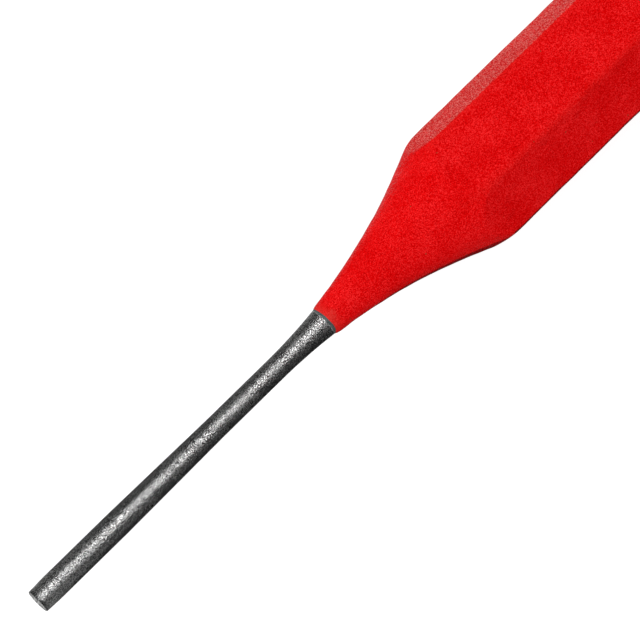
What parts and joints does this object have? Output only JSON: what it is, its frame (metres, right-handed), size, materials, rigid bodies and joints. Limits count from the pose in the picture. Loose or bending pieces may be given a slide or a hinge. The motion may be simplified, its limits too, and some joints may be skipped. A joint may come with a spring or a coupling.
{
  "type": "pin punch",
  "caption": "Pin punch: a slim ground steel pin flares through a hollow-turned neck into a hexagonal, red powder-coated body that ends in a bare, crowned striking head.",
  "frame": {"origin": "centre of the flat working face at the tip, on the tool's axis", "axes": "+X along the axis from the tip back to the striking head; +Z square to the top flat of the hexagon, so the punch lies on the opposite flat; +Y completes the right-handed set and points at an edge of the hexagon"},
  "size_m": [0.15, 0.0108, 0.0096],
  "materials": {
    "steel": "hardened tool steel, ground round the axis, with a thin film of oil",
    "red_coat": "fine-textured satin powder coat"
  },
  "bodies": {
    "root": {"punch_blank": "steel", "powder_coat": "red_coat"}
  },
  "joints": []
}
